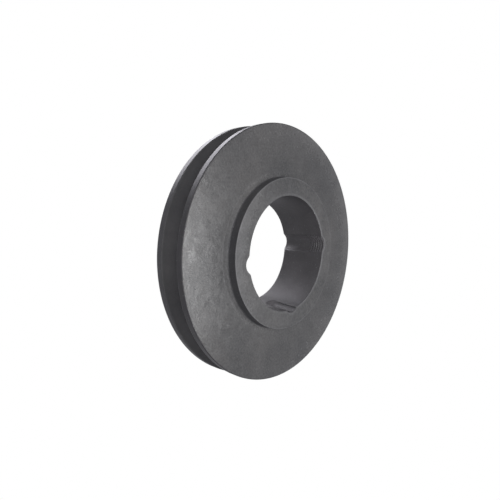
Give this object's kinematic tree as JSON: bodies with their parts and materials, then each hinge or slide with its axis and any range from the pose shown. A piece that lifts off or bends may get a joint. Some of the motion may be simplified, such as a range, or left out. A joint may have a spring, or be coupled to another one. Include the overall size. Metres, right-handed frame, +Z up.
{
  "type": "v-belt pulley",
  "caption": "Single-groove V-belt pulley: a solid grooved disc with a hub boss on each side and a taper bore with half-round screw notches.",
  "frame": {"origin": "on the wheel's axis, at the middle of its width", "axes": "+Y along the wheel's axis, from the large end of the taper bore (front, -Y) to its small end (back, +Y); +Z up; +X to the right seen from the front"},
  "size_m": [0.1554, 0.032, 0.1554],
  "materials": {
    "cast_iron": "turned grey iron, phosphated dark grey, matt with a fine mottle"
  },
  "bodies": {
    "root": {"pulley_body": "cast_iron"}
  },
  "joints": []
}
